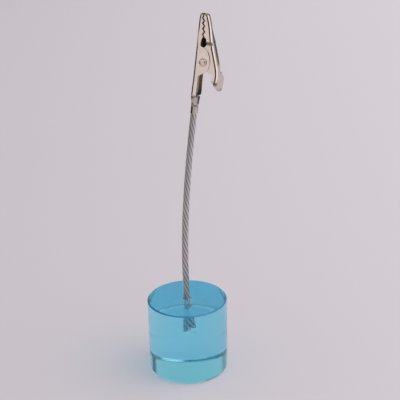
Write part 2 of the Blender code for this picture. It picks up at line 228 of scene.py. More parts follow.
acrylicLook = {
    "index": 1.49,
    "passed": tint(0.0, 0.835, 1.0),  # red is soaked up, blue passes
    "density": 44.0,  # per metre
    "lampTint": tint(0.85, 1.0, 1.0),  # what each face lets through of the lamps' light
    "haze": 420.0,
    "hazeSpan": (0.62, 0.86),
    "hazeRough": 0.012,
    # painted shade: an opaque dark blue along the top rim
    "rim": tint(0.025, 0.235, 0.48),
    "rimShare": 0.85,
    "rimRough": 0.30,
    "boreRough": 0.28,
    "drillPitch": 0.00045,
    "drillDepth": 0.00004,
}


def blueAcrylic():
    look = acrylicLook
    f = newFinish("blue_acrylic")
    place = f.objectPlace()
    bore = f.attribute("bore")
    drillMarks = (f.coordinate(place, 2) * (math.tau / look["drillPitch"])).sine()
    haze = f.ramp(f.noise(place, look["haze"], 4.0), *look["hazeSpan"])
    polished = f.principled({
        "Base Color": tint(1, 1, 1),
        "Roughness": haze * look["hazeRough"] + bore * look["boreRough"],
        "IOR": look["index"],
        "Transmission Weight": 1.0,
        "Normal": f.bump(drillMarks * bore, look["drillDepth"]),
    })
    # painted shade along the top rim: opaque dark blue in place of the dark line the polished chamfer shows
    darkRimLine = f.principled({
        "Base Color": look["rim"],
        "Roughness": look["rimRough"],
        "IOR": look["index"],
    })
    surface = f.mixed(f.attribute("rim") * look["rimShare"], polished, darkRimLine)
    surface = f.mixed(wetted(f, place, bore), surface, f.transparent())
    lampRay = f.node("ShaderNodeLightPath", out=1)  # lamps shine through the block
    surface = f.mixed(lampRay, surface, f.transparent(look["lampTint"]))
    soak = {"Color": look["passed"], "Density": look["density"]}
    return f.output(surface, f.node("ShaderNodeVolumeAbsorption", None, soak))


ropeLook = {
    "bright": tint(0.93, 0.91, 0.92),
    "dull": tint(0.68, 0.66, 0.67),
    # painted shade between the wires and the strands
    "paintedShade": tint(0.27, 0.258, 0.26),
    "coated": tint(0.30, 0.56, 0.70),  # painted blue light from the block, on the rope in the bore
    "boreBlueShare": 0.9,
    "patches": 900.0,
    "patchShine": 0.6,
    "wireShine": 0.5,
    "shineSpan": (0.3, 0.75),
    # how much painted shade the valleys between the wires and the sunken places between the strands get
    "valleyShade": 0.45,
    "sunkenShade": 0.75,
    "darkeningSpan": (0.25, 0.80),
    "drawn": (60.0, 2.0, 1.0),  # marks of drawing: closer round a strand than along it
    "drawnScale": 8.0,
    "drawnDepth": 0.00002,
    "rough": 0.27,
    "patchRough": 0.12,
    "darkeningRough": 0.25,
}


def ropeSteel():
    look = ropeLook
    f = newFinish("rope_steel")
    patches = f.noise(f.objectPlace(), look["patches"])
    drawn = f.noise(f.stretched(f.surfacePlace(), look["drawn"]), look["drawnScale"], 2.0)
    shine = patches * look["patchShine"] + f.attribute("wireShade") * look["wireShine"]
    metal = f.colours(f.ramp(shine, *look["shineSpan"]), look["dull"], look["bright"])
    # painted shade: darker in the valleys between the wires, deep between the strands and in the crimps
    darkening = f.attribute("valley") * look["valleyShade"] + f.attribute("sunken") * look["sunkenShade"]
    shaded = f.ramp(darkening, *look["darkeningSpan"])
    bare = f.colours(shaded, metal, look["paintedShade"])
    # painted blue light on the rope in the bore, less where it is shaded
    blueLevel = f.attribute("coated") * (look["boreBlueShare"] - shaded * 0.5)
    return f.output(f.principled({
        "Base Color": f.colours(blueLevel, bare, look["coated"]),
        "Metallic": 1.0,
        "Roughness": look["rough"] + patches * look["patchRough"] + shaded * look["darkeningRough"],
        "Normal": f.bump(drawn, look["drawnDepth"], 0.5),
    }))


nickelLook = {
    "plate": tint(0.86, 0.785, 0.73),
    "warm": tint(0.79, 0.695, 0.625),
    # lighter on the rounded edges: wear, and a painted highlight
    "wornAndHighlight": tint(0.90, 0.85, 0.81),
    # painted shade on inner faces, in the joggle's crease and at the nick, and a darker tone on the crimps
    # and handling dirt on the pad
    "inside": tint(0.25, 0.205, 0.155),
    # near-black painted shade at the nick
    "paintedShade": tint(0.05, 0.04, 0.03),
    "wornAndHighlightShare": 0.6,
    "insideShare": 0.85,
    "paintedShadeSpan": (0.68, 0.88),  # half the darkening, where it turns to near-black painted shade
    "stains": 330.0,
    "stainSpan": (0.40, 0.68),
    "pits": 2600.0,
    "pitSpan": (0.60, 0.78),
    "grain": (1.0, 22.0, 1.0),  # marks of rolling: they run across the strip
    "grainScale": 0.9,
    "depth": 0.00001,
    "rough": 0.10,
    "stainRough": 0.10,
    "pitRough": 0.10,
    "darkeningRough": 0.20,
}


def nickelPlate():
    look = nickelLook
    f = newFinish("nickel_plate")
    place = f.objectPlace()
    grain = f.noise(f.stretched(f.surfacePlace(), look["grain"]), look["grainScale"], 4.0)
    stains = f.noise(place, look["stains"], 4.0, 0.6)
    pits = f.ramp(f.noise(place, look["pits"], 2.0), *look["pitSpan"])
    inside = f.attribute("inside")
    plate = f.colours(f.ramp(stains, *look["stainSpan"]), look["plate"], look["warm"])
    # the rounded edges: wear and a painted highlight
    edged = f.colours(f.attribute("edge") * look["wornAndHighlightShare"], plate, look["wornAndHighlight"])
    # the inside mark: painted shade on inner faces, in the crease and at the nick, and some dirt
    dirtAndShade = f.colours(inside * look["insideShare"], edged, look["inside"])
    rough = look["rough"] + stains * look["stainRough"] + pits * look["pitRough"]
    return f.output(f.principled({
        "Base Color": f.colours(f.ramp(inside * 0.5, *look["paintedShadeSpan"]), dirtAndShade, look["paintedShade"]),
        "Metallic": 1.0,
        "Roughness": rough + inside * look["darkeningRough"],
        "Normal": f.bump(grain * 0.6 + pits * 0.5, look["depth"], 0.6),
    }))


rivetLook = {
    "clean": tint(0.88, 0.79, 0.68),
    "stained": nickelLook["warm"],
    # painted shade round the head's rolled rim
    "seam": nickelLook["inside"],
    "rimShadeShare": 0.9,
    "stains": 700.0,
    "stainSpan": (0.4, 0.7),
    "marks": 3200.0,
    "depth": 0.00001,
    "rough": 0.18,
    "stainRough": 0.12,
}


def rivetSteel():
    look = rivetLook
    f = newFinish("rivet_steel")
    place = f.objectPlace()
    stains = f.noise(place, look["stains"], 4.0, 0.6)
    plate = f.colours(f.ramp(stains, *look["stainSpan"]), look["clean"], look["stained"])
    return f.output(f.principled({
        "Base Color": f.colours(f.attribute("seam") * look["rimShadeShare"], plate, look["seam"]),
        "Metallic": 1.0,
        "Roughness": look["rough"] + stains * look["stainRough"],
        "Normal": f.bump(f.noise(place, look["marks"]), look["depth"], 0.5),
    }))


springLook = {
    "bright": tint(0.52, 0.51, 0.50),
    "dull": tint(0.30, 0.29, 0.28),
    "patches": 900.0,
    "drawn": (30.0, 1.0, 1.0),
    "drawnScale": 6.0,
    "drawnDepth": 0.00001,
    "rough": 0.24,
    "patchRough": 0.14,
}


def springSteel():
    look = springLook
    f = newFinish("spring_steel")
    drawn = f.noise(f.stretched(f.surfacePlace(), look["drawn"]), look["drawnScale"], 2.0)
    patches = f.noise(f.objectPlace(), look["patches"])
    return f.output(f.principled({
        "Base Color": f.colours(patches, look["dull"], look["bright"]),
        "Metallic": 1.0,
        "Roughness": look["rough"] + patches * look["patchRough"],
        "Normal": f.bump(drawn, look["drawnDepth"], 0.5),
    }))


# Mesh tools
def gridFaces(rows, columns, wrap=True):
    # each cell joins a column to the next, round to the first where the grid wraps, and a row to the next
    low = np.arange(rows - 1)[:, None] * columns
    left = np.arange(columns if wrap else columns - 1)[None, :]
    right = (left + 1) % columns
    cells = np.stack([low + left, low + right, low + columns + right, low + columns + left], axis=-1)
    return cells.reshape(-1, 4)


def markPoints(mesh, mark, values):
    layer = mesh.attributes.new(mark, "FLOAT", "POINT")
    layer.data.foreach_set("value", values.astype(np.float32).ravel())


def addPiece(name, node, points, finish, marks=None, surface=None, body="stand"):
    # points is rows by columns by 3, marks are numbers for each point, surface is a place on the flat sheet
    mesh = bpy.data.meshes.new(name)
    mesh.from_pydata(points.reshape(-1, 3).tolist(), [], gridFaces(*points.shape[:2]).tolist())
    for mark, values in (marks or {}).items():
        markPoints(mesh, mark, np.broadcast_to(values, points.shape[:-1]))
    if surface is not None:
        corners = np.zeros(len(mesh.loops), np.int32)
        mesh.loops.foreach_get("vertex_index", corners)
        layer = mesh.uv_layers.new(name="surface")
        layer.data.foreach_set("uv", surface.reshape(-1, 2)[corners].astype(np.float32).ravel())
    closeUp(mesh)
    mesh.shade_smooth()
    mesh.materials.append(finish)
    piece = bpy.data.objects.new(name, mesh)
    scene.collection.objects.link(piece)
    if body:
        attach(piece, body)
    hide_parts(node)
    print("made", name, len(mesh.polygons), "faces")
    return piece


def closeUp(mesh):
    # merges the points that meet at poles, seams and edges, and turns the faces outwards
    shape = bmesh.new()
    shape.from_mesh(mesh)
    bmesh.ops.remove_doubles(shape, verts=shape.verts, dist=1e-8)
    bmesh.ops.dissolve_degenerate(shape, edges=shape.edges, dist=1e-9)
    bmesh.ops.recalc_face_normals(shape, faces=shape.faces)
    shape.to_mesh(mesh)
    shape.free()


def eased(start, end, begin, finish, at):
    # smooth step from start, where at is begin, to end, where at is finish
    share = np.clip((at - begin) / (finish - begin), 0, 1)
    return start + (end - start) * share**2 * (3 - 2 * share)


def roundedProfile(corners, roundings, steps=6):
    # an open outline of (radius, height) with an arc of the given radius in place of each inner corner
    made = [np.array(corners[:1])]
    for before, corner, after, radius in zip(corners, corners[1:], corners[2:], roundings):
        before, corner, after = np.array(before), np.array(corner), np.array(after)
        back = (before - corner) / np.linalg.norm(before - corner)
        ahead = (after - corner) / np.linalg.norm(after - corner)
        half = math.acos(np.clip(back @ ahead, -1, 1)) / 2
        middle = corner + (back + ahead) / np.linalg.norm(back + ahead) * radius / math.sin(half)
        start = corner + back * radius / math.tan(half) - middle
        end = corner + ahead * radius / math.tan(half) - middle
        sweep = math.pi - 2 * half
        share = np.linspace(0, 1, steps)[:, None]
        arc = (start * np.sin((1 - share) * sweep) + end * np.sin(share * sweep)) / math.sin(sweep)
        lead = middle + start + back * radius / 4
        trail = middle + end + ahead * radius / 4
        made += [lead[None], middle + arc, trail[None]]
    made.append(np.array(corners[-1:]))
    return np.concatenate(made)


def turnedRings(profile, sides):
    # each (radius, height) of the profile goes round the Z axis: r cos a, r sin a and the height
    angle = np.arange(sides) / sides * math.tau
    radius, height = profile[:, :1], profile[:, 1:]
    return np.stack([radius * np.cos(angle), radius * np.sin(angle), height + 0 * angle], axis=-1)


def unit(vectors):
    return vectors / np.linalg.norm(vectors, axis=-1, keepdims=True)


def tubeRings(path, normal, outline):
    # the outline, (rows, columns, 2), is carried along the path on its normal and its second normal
    tangent = unit(np.gradient(path, axis=0))
    normal = unit(normal - np.sum(normal * tangent, axis=1, keepdims=True) * tangent)
    second = np.cross(tangent, normal)
    return path[:, None] + outline[..., :1] * normal[:, None] + outline[..., 1:] * second[:, None]


def capped(rings):
    # the first and the last ring are closed by a middle point, which every column shares
    first = np.broadcast_to(rings[:1].mean(axis=1, keepdims=True), rings[:1].shape)
    last = np.broadcast_to(rings[-1:].mean(axis=1, keepdims=True), rings[-1:].shape)
    return np.concatenate([first, rings, last])


# Where the clip is: the hinge gives its pivot, its lean and its turn
hinge = frame["joints"][0]
pivot = np.array(hinge["pos_m"])
rivetAxis = np.array(hinge["axis"])
clipTurn = math.acos(rivetAxis[1])
clipLean = math.atan2(-rivetAxis[2], rivetAxis[0])
# columns: from the fixed jaw to the moving jaw, along the rivet, towards the tip
clipAxes = np.array(Matrix.Rotation(clipLean, 3, "Y") @ Matrix.Rotation(-clipTurn, 3, "Z"))


def inClip(points):
    # a point drawn upright at the pivot goes to pivot + its coordinates times the clip's axes
    return pivot + points @ clipAxes.T


# Block
blockLow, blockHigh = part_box("acrylic_base")
block = {
    "radius": (blockHigh.x - blockLow.x) / 2,
    "height": blockHigh.z,
    "rim": 0.00040,
    "rimRound": 0.00006,
    "footRound": 0.0015,
    "roundSteps": 16,
    "bore": 0.00175,
    "boreDepth": 0.012,
    "boreMouth": 0.00008,
    "mouthRings": (1.6, 1.25),  # rings in the flat top round the bore, in multiples of its radius
    "drillPoint": math.radians(118),
    "footLean": math.radians(-2.58),
    "sides": 240,
}
footDirection = np.array([math.sin(block["footLean"]), 0, math.cos(block["footLean"])])
footAside = np.array([math.cos(block["footLean"]), 0, -math.sin(block["footLean"])])
footPlace = np.array([0, 0, block["height"]])


def inBore(rings):
    # rings drawn upright on the bore's mouth lean with the stem's foot
    axes = np.stack([footAside, [0, 1, 0], footDirection])
    return footPlace + rings @ axes


def makeBlock():
    # the block's outline goes round its axis, and the bore's round the axis of the stem's foot
    b = block
    radius, height, rim, bore = b["radius"], b["height"], b["rim"], b["bore"]
    outerRing, innerRing = (bore * multiple for multiple in b["mouthRings"])
    tip = bore / math.tan(b["drillPoint"] / 2)
    outside = roundedProfile(
        [(0, 0), (radius, 0), (radius, height - rim), (radius - rim, height), (outerRing, height)],
        [b["footRound"], b["rimRound"], b["rimRound"]],
        b["roundSteps"],
    )
    inside = roundedProfile(
        [(innerRing, 0), (bore, 0), (bore, -b["boreDepth"]), (0, -b["boreDepth"] - tip)],
        [b["boreMouth"], b["boreMouth"]],
    )
    shell = turnedRings(outside, b["sides"])
    hole = inBore(turnedRings(inside, b["sides"]))
    mouth = inside[:, 1] > -b["boreMouth"] * 1.5  # the mouth lies flat in the block's top
    hole[mouth, :, 2] = height + inside[mouth, 1][:, None]
    rings = np.concatenate([shell, hole])
    isBore = np.concatenate([np.zeros(len(outside)), inside[:, 1] < -b["boreMouth"] / 2])
    rimReach = rim * 1.02  # the painted dark rim and a hair more
    atRim = (outside[:, 0] > radius - rimReach) & (outside[:, 1] > height - rimReach)
    isRim = np.concatenate([atRim, np.zeros(len(inside))])
    marks = {"bore": isBore[:, None], "rim": isRim[:, None]}
    addPiece("polished_block", "acrylic_base", rings, blueAcrylic(), marks)


# Adhesive
adhesive = {
    "gap": 0.00006,
    "floor": 0.0006,
    "dip": 0.0002,  # its outer edge lies this far below the block's top
    "creep": 0.0006,  # and it climbs this far from there to the rope
    "meniscusSteps": 12,
    "cupSteps": 30,
    "sides": 72,
}


def makeAdhesive():
    # an outline that goes round the bore's axis: up the bore, over a meniscus and down the rope
    a = adhesive
    outer = block["bore"] - a["gap"]
    inner = rope["radius"] + rope["loose"] + a["gap"] / 2
    bottom = -block["boreDepth"] + a["gap"]
    tip = bottom - outer / math.tan(block["drillPoint"] / 2) + a["gap"]
    share = np.linspace(0, 1, a["meniscusSteps"])[:, None]
    # the meniscus rises with the cube of its share of the way to the rope
    meniscus = np.concatenate([outer + (inner - outer) * share, -a["dip"] + a["creep"] * share**3], axis=1)
    depth = np.linspace(meniscus[-1, 1], bottom + a["floor"], a["cupSteps"])[1:]
    cup = np.stack([strandRadius + windingAt(depth + rope["sunk"]) + a["gap"] / 2, depth], axis=-1)
    profile = np.concatenate([[(0, tip), (outer, bottom)], meniscus, cup, [(0, cup[-1, 1])]])
    rings = inBore(turnedRings(profile, a["sides"]))
    addPiece("adhesive_fill", "rope_adhesive", rings, setAdhesive())


# Rope: six strands of seven wires round a core strand
rope = {
    "radius": 0.00121,
    "lay": 0.0165,
    "wireLay": 0.0085,
    "coreGap": 0.00002,
    "strands": 6,
    "wires": 6,
    "wirePoints": 8,
    "stem": (0.00436, 0.0734),  # how far its top stands off to the side and above the block
    "bowSteps": 400,
    "step": 0.00025,
    "sunk": 0.0112,
    "gripped": 0.0061,
    "loose": 0.00007,  # how much wider it is wound at the foot than at the clip
    "looseSpan": (0.02, 0.08),
    "splay": 0.00030,  # how far the strands spread at the end in the bore
    "splaySpan": (0.0008, 0.0062),
    "ragged": 0.0015,  # how unevenly they are cut there
    "squeeze": 0.80,  # how tightly the crimps hold it
    "squeezeSpan": (-0.0003, 0.0007),  # from the crimps' lower end
    "darkening": 0.8,  # painted shade on the rope in the crimps
    "darkeningRun": 0.0010,
    "boreBlueSpan": (0.0012, 0.0002),  # the painted blue light ends between these depths in the bore, as the adhesive's coat does
}
strandRadius = (rope["radius"] - rope["coreGap"]) / 3
perMetre = 1000  # places on a flat surface are in millimetres


def windingAt(run):
    # radius of the strands' winding at a distance from the end in the bore
    splay = eased(rope["splay"], 0, *rope["splaySpan"], run)
    return rope["radius"] - strandRadius + splay + eased(rope["loose"], 0, *rope["looseSpan"], run)


def ropeRoute():
    # a cubic curve from the block's top to the clip, with a straight run sunk in the bore
    # and another in the crimps, at even steps
    top = footPlace + np.array([rope["stem"][0], 0, rope["stem"][1]])
    above = np.array([math.sin(clipLean), 0, math.cos(clipLean)])
    handle = np.linalg.norm(top - footPlace) / 3
    t = np.linspace(0, 1, rope["bowSteps"])[:, None]
    bow = (
        (1 - t) ** 3 * footPlace
        + 3 * (1 - t) ** 2 * t * (footPlace + handle * footDirection)
        + 3 * (1 - t) * t**2 * (top - handle * above)
        + t**3 * top
    )
    lowEnd = footPlace - rope["sunk"] * footDirection
    highEnd = top + rope["gripped"] * above
    path = np.concatenate([[lowEnd], bow, [highEnd]])
    run = np.concatenate([[0], np.cumsum(np.linalg.norm(np.diff(path, axis=0), axis=1))])
    even = np.linspace(0, run[-1], round(run[-1] / rope["step"]) + 1)
    return even, np.stack([np.interp(even, run, path[:, axis]) for axis in range(3)], axis=-1)


def strandOutline(run):
    # six wires round one: in each sixth the outline is a circle of a third of the radius, two thirds out
    columns = rope["wires"] * rope["wirePoints"]
    turn = np.arange(columns) / columns * math.tau
    sector = math.tau / rope["wires"]
    off = (turn + sector / 2) % sector - sector / 2
    wire = strandRadius / 3
    out = 2 * wire * np.cos(off) + np.sqrt(np.maximum(wire**2 - (2 * wire * np.sin(off)) ** 2, 0))
    twist = turn[None] + math.tau * run[:, None] / rope["wireLay"]
    valley = (strandRadius - out) / (strandRadius - out.min())
    shade = np.sin(np.floor((turn + sector / 2) / sector) * 2.4) / 2 + 0.5  # each wire has its own
    return np.stack([out * np.cos(twist), out * np.sin(twist)], axis=-1), valley, shade


def makeRope():
    # each strand's outline is carried along a helix about the rope's middle line
    run, middle = ropeRoute()
    finish = ropeSteel()
    outline, valley, shade = strandOutline(run)
    held = run[-1] - rope["gripped"]
    squeezeFrom, squeezeTo = (held + shift for shift in rope["squeezeSpan"])
    tight = eased(1, rope["squeeze"], squeezeFrom, squeezeTo, run)[:, None]
    blueFrom, blueTo = (rope["sunk"] - depth for depth in rope["boreBlueSpan"])
    across = np.broadcast_to([0.0, 1.0, 0.0], middle.shape)
    aside = np.cross(across, unit(np.gradient(middle, axis=0)))
    for number in range(rope["strands"] + 1):
        if number:
            bearing = math.tau * (number - 1) / rope["strands"]
            turn = (bearing - math.tau * run / rope["lay"])[:, None]
            outward = aside * np.cos(turn) + across * np.sin(turn)
            path = middle + windingAt(run)[:, None] * tight * outward
            name, node = f"wire_strand_{number}", f"rope_strand_{number}"
            cutOff = rope["ragged"] * (0.5 + 0.5 * math.cos(bearing))
        else:
            outward, path = aside, middle
            name, node = "wire_core", "rope_core"
            cutOff = rope["ragged"]
        kept = run >= cutOff
        squeezed = tight[kept]
        tube = tubeRings(path[kept], outward[kept], outline[kept] * squeezed[:, None])
        # how deep a point lies between the strands, as a share of a strand's radius
        reach = np.linalg.norm(tube - middle[kept][:, None], axis=-1)
        fullReach = (windingAt(run) + strandRadius)[kept][:, None] * squeezed
        sunken = np.clip((fullReach - reach) / strandRadius, 0, 1)
        rings = capped(tube)
        runs = np.concatenate([run[kept][:1], run[kept], run[-1:]])
        # painted shade on the rope where the crimps hold it
        shaded = eased(0, rope["darkening"], held, held + rope["darkeningRun"], runs)
        # valley and sunken carry painted shade between the wires and the strands, and in the crimps
        marks = {
            "valley": valley[None],
            "sunken": np.concatenate([sunken[:1], sunken, sunken[-1:]]) + shaded[:, None],
            "wireShade": shade[None] * 0.7 + 0.3 * ((number * 0.37) % 1),  # by the wire and by the strand
            "coated": eased(1, 0, blueFrom, blueTo, runs)[:, None],
        }
        around = np.linspace(0, 1, rings.shape[1])
        surface = np.stack(np.broadcast_arrays(around[None], runs[:, None] * perMetre), axis=-1)
        addPiece(name, node, rings, finish, marks, surface)


# Sheet-metal jaws, drawn upright at the pivot
jaws = {
    "sheet": 0.0003,
    "edgeRound": 0.00011,
    "roundShare": 0.6,  # the most of a low wall that its rounded edge takes up
    "rimPower": 2.6,  # 2 rounds an edge fully, more makes it squarer
    "sliver": 0.00002,  # sets apart the rows on both sides of a cut
    "nose": 0.01605,
    "tail": 0.0194,
    "ropeOffset": 0.0021,
    "earHalf": 0.0028,
    "noseHalf": 0.00135,
    "tailHalf": 0.0032,
    "wideTo": 0.0038,
    "narrowFrom": 0.012,
    "bend": 0.00075,
    "crown": math.radians(5),  # how far the web's sides already lean towards the walls
    "fixedBack": 0.00315,
    "noseBack": 0.00365,
    "tipRun": 0.0020,  # the last stretch of the nose, where its back rounds in
    "tipRound": 0.00045,
    "movingBack": 0.0046,
    "noseSlope": math.radians(18.2),
    "noseOut": 0.0002,  # how far the tip of the moving back stands out from that slope
    "noseOutSpan": (0.008, 0.015),
    "mouthSlope": math.radians(7.8),
    "mouthGap": 0.00066,
    "tipGap": 0.4,  # the share of that gap at the tip
    "teeth": 4,
    "toothPitch": 0.00187,
    "toothHeight": 0.00058,
    "toothLead": 0.0012,
    "toothSharp": 0.97,  # 1 would leave the points unrounded
    "notch": 0.0031,
    "notchFixed": (0.00056, 2.0),  # depth and lean: this bay is deepest low down
    "notchMoving": (0.00096, 0.85),  # and this one high up
    "notchPower": 2.4,
    "farBay": 0.35,  # the fixed jaw's far notch is this share as deep as its near one
    "earLength": 0.0052,
    "earBelow": 0.0052,  # the same, towards the tail
    "earCut": (0.0013, -0.0032),  # its lower corner is cut off from here
    "earCutSlope": 1.45,
    "earHeight": 0.00225,
    "innerEar": 0.00175,
    "sideClearance": 0.0001,
    "joggle": 0.0010,
    "joggleGap": 0.0009,
    "tailWall": 0.00188,
    "crimpEar": 0.0030,
    "crimpNotch": 0.00035,
    "crimpGap": 0.00003,
    "upperLoose": 0.0004,  # the upper crimp stands open
    "upperWrap": math.radians(96),
    "upperWall": 0.0009,
    "lowerWrap": math.radians(150),
    "notchWrap": math.radians(60),
    "crimpStep": 0.0004,
    "tailSkew": 0.08,  # the near side of the tail and the crimps stands a little higher
    "leverWall": 0.0017,
    "leverRise": 0.0024,  # where the wall's edge starts up to the lever
    "leverFrom": 0.0041,
    "leverCurve": 0.0185,
    "neckFrom": 0.0038,  # the lever widens to a neck, where its walls end
    "neckTo": 0.0062,
    "neckHalf": 0.0030,
    "neckWall": 0.0018,
    "neckFold": math.radians(62),
    "leanFrom": 0.0058,  # the near wall starts to lean out here
    "wingFrom": 0.0030,  # the far wall opens out from here and grows to the pad
    "wingRun": 0.0006,
    "nick": 0.0063,
    "nickRun": 0.0008,
    "nickPlace": 0.35,  # where in that run it is deepest, how far it spreads, how much it takes off
    "nickSpread": 0.4,
    "nickCut": 0.7,
    "padHalf": 0.0050,
    "padRound": 0.0034,
    "padEnd": 0.0096,
    "padFold": math.radians(-3),
    "padFrom": 0.0060,
    "padCurve": 0.0058,
    "padSkew": 0.10,  # the near side of the pad stands a little higher
    "webSteps": 8,
    "bendSteps": 10,
    "wallSteps": 12,
    "rimSteps": 6,
}
# how many rows each stretch of a strip has
jawRows = {
    "teeth": 76,
    "notch": 28,
    "earAbove": 30,
    "earBelow": 31,
    "channel": 20,
    "crimpStep": 14,
    "crimpCut": 4,
    "crimp": 14,
    "joggle": 48,
    "innerEar": 32,
    "leverRise": 24,
    "lever": 24,
    "nick": 20,
    "pad": 48,
}
# painted shade on the inner skin, at the nick and in the joggle's crease; a darker tone on the crimps,
# handling dirt on the pad, and darker just below the tip
jawDirtAndShade = {
    "inside": 0.75,
    "crimp": 0.30,
    "handled": 0.03,
    "tipSpan": (0.0005, 0.0001),  # below the tip
    # painted shade at the nick and in the joggle's crease
    "nick": (0, 1, 2, 2),  # on the web's middle, the web's sides, the bend and the wall
    "crease": (0, 0, 1.1, 1.3),  # the same, at the joggle
    "creaseSpread": 0.6,
}
crimpRadius = rope["radius"] * rope["squeeze"] + jaws["crimpGap"] + jaws["sheet"]
teethEnd = jaws["nose"] - jaws["toothLead"] - (jaws["teeth"] - 0.5) * jaws["toothPitch"]
notchEnd = teethEnd - jaws["notch"]
channelEnd = -jaws["tail"] + 2 * jaws["crimpEar"] + 2 * jaws["crimpNotch"]
channelTop = channelEnd + jaws["crimpStep"]
crimpTop = channelEnd - jaws["crimpNotch"]
crimpMiddle = crimpTop - jaws["crimpEar"]
crimpCuts = [channelEnd, crimpTop, crimpMiddle, crimpMiddle - jaws["crimpNotch"]]
nickEnd = -jaws["nick"] - jaws["nickRun"]
padArc = -jaws["padEnd"] + jaws["padRound"]  # the pad's end is an arc from here
nickelFinish = nickelPlate()


def rimCurve():
    # shares of the rounding's depth, and of the full thickness there: a rounded-square edge
    depth = 1 - np.cos(np.linspace(0, 1, jaws["rimSteps"]) * math.pi / 2)
    return depth, (1 - (1 - depth) ** jaws["rimPower"]) ** (1 / jaws["rimPower"])


def mouthLine(height):
    # a straight line through the pivot, which leans to the fixed jaw
    return -height * math.tan(jaws["mouthSlope"])


def frontEdge(height, side, bayShare=1.0):
    # free edge from tip to notch: a zigzag with rounded points, then a squarish half ellipse for the notch
    j = jaws
    phase = (j["nose"] - j["toothLead"] - height) / j["toothPitch"] * math.tau
    zigzag = -np.arcsin(j["toothSharp"] * np.cos(phase)) / math.asin(j["toothSharp"]) * j["toothHeight"] / 2
    lead = eased(0, 1, j["nose"], j["nose"] - j["toothLead"], height)
    depth, lean = j["notchFixed"] if side < 0 else j["notchMoving"]
    share = np.clip((teethEnd - height) / j["notch"], 0, 1) ** lean
    bay = np.maximum(0, 1 - np.abs(2 * share - 1) ** j["notchPower"]) ** (1 / j["notchPower"])
    shape = np.where(height > teethEnd, zigzag * lead, side * depth * bayShare * bay)
    gap = j["mouthGap"] * (j["tipGap"] + (1 - j["tipGap"]) * lead)
    return mouthLine(height) + shape + side * gap / 2


def jawHalf(height):
    # half width over both walls: full at the ears, narrow at the nose, stepped in at the crimp
    j = jaws
    nose = eased(j["earHalf"], j["noseHalf"], j["wideTo"], j["narrowFrom"], height)
    tail = eased(j["earHalf"], j["tailHalf"], -j["earBelow"], channelTop, height)
    step = eased(crimpRadius + j["sheet"], j["tailHalf"], channelEnd, channelTop, height)
    return np.where(height > 0, nose, np.where(height > channelTop, tail, step))


def tipDrop(height):
    # a quarter ellipse: nothing where the tip's stretch begins, the whole rounding at the tip
    share = np.clip((height - jaws["nose"] + jaws["tipRun"]) / jaws["tipRun"], 0, 1)
    return jaws["tipRound"] * (1 - np.sqrt(1 - share**2))


def tipDarkening(height):
    # darker just below the tip
    begin, end = (jaws["nose"] - below for below in jawDirtAndShade["tipSpan"])
    return eased(0, 1, begin, end, height)


def fixedWeb(height):
    # the back of the fixed jaw: along the nose, then the channel, then a step to the crimps
    j = jaws
    nose = tipDrop(height) - eased(j["fixedBack"], j["noseBack"], j["wideTo"], j["narrowFrom"], height)
    low = j["ropeOffset"] + crimpRadius - j["sheet"]
    tail = -eased(low, j["fixedBack"], channelEnd, channelTop, height)
    return np.where(height > 0, nose, tail)


def leverWeb(height):
    # the back of the moving jaw: straight along the nose, bowed along the lever, scooped at the pad
    j = jaws
    bowed = np.minimum(height, 0) ** 2 / (2 * j["leverCurve"])
    scoop = np.minimum(height + j["padFrom"], 0) ** 2 / (2 * j["padCurve"])
    tip = eased(0, j["noseOut"], *j["noseOutSpan"], height) - tipDrop(height) / 2
    return j["movingBack"] - height * math.tan(j["noseSlope"]) - bowed + scoop + tip


def evenSteps(lengths, count):
    # each row's length in equal steps
    return np.repeat(lengths[:, None] / count, count, axis=1)


def running(steps):
    # the running sum of each row's steps, from 0
    return np.concatenate([np.zeros((len(steps), 1)), np.cumsum(steps, axis=1)], axis=1)


def halfStrip(strip, wing):
    # the strip's middle surface on one side: its heading turns from the web through the bend to the wall,
    # and its place is the running sum of its steps
    j = jaws
    wall = wing["wall"]
    fold = wing["fold"][:, None]
    rimDepth, _ = rimCurve()
    rim = np.minimum(j["edgeRound"], wall * j["roundShare"])
    steps = np.concatenate([
        evenSteps(strip["flat"], j["webSteps"]),
        evenSteps(strip["bend"], j["bendSteps"]),
        evenSteps(wall - rim, j["wallSteps"]),
        np.diff(1 - rimDepth[::-1])[None] * rim[:, None],
    ], axis=1)
    crown = np.minimum(j["crown"], np.abs(fold)) * np.sign(fold)
    webHeading = crown * (np.arange(j["webSteps"]) + 0.5) / j["webSteps"]
    bendHeading = crown + (fold - crown) * (np.arange(j["bendSteps"]) + 0.5) / j["bendSteps"]
    wallHeading = np.repeat(fold, j["wallSteps"] + len(rimDepth) - 1, axis=1)
    heading = np.concatenate([webHeading, bendHeading, wallHeading], axis=1)
    across = running(steps * np.cos(heading))
    depth = running(steps * np.sin(heading))
    between = (heading[:, 1:] + heading[:, :-1]) / 2
    corner = np.concatenate([0 * fold, between, heading[:, -1:]], axis=1)
    # darkening on the web's middle, the web's sides, the bend and the wall
    halfWeb = j["webSteps"] // 2
    spans = [halfWeb + 1, halfWeb, j["bendSteps"], across.shape[1] - 1 - 2 * halfWeb - j["bendSteps"]]
    darkening = np.repeat(np.stack(wing["darkening"], axis=1), spans, axis=1)
    return across, depth, running(steps), corner, darkening


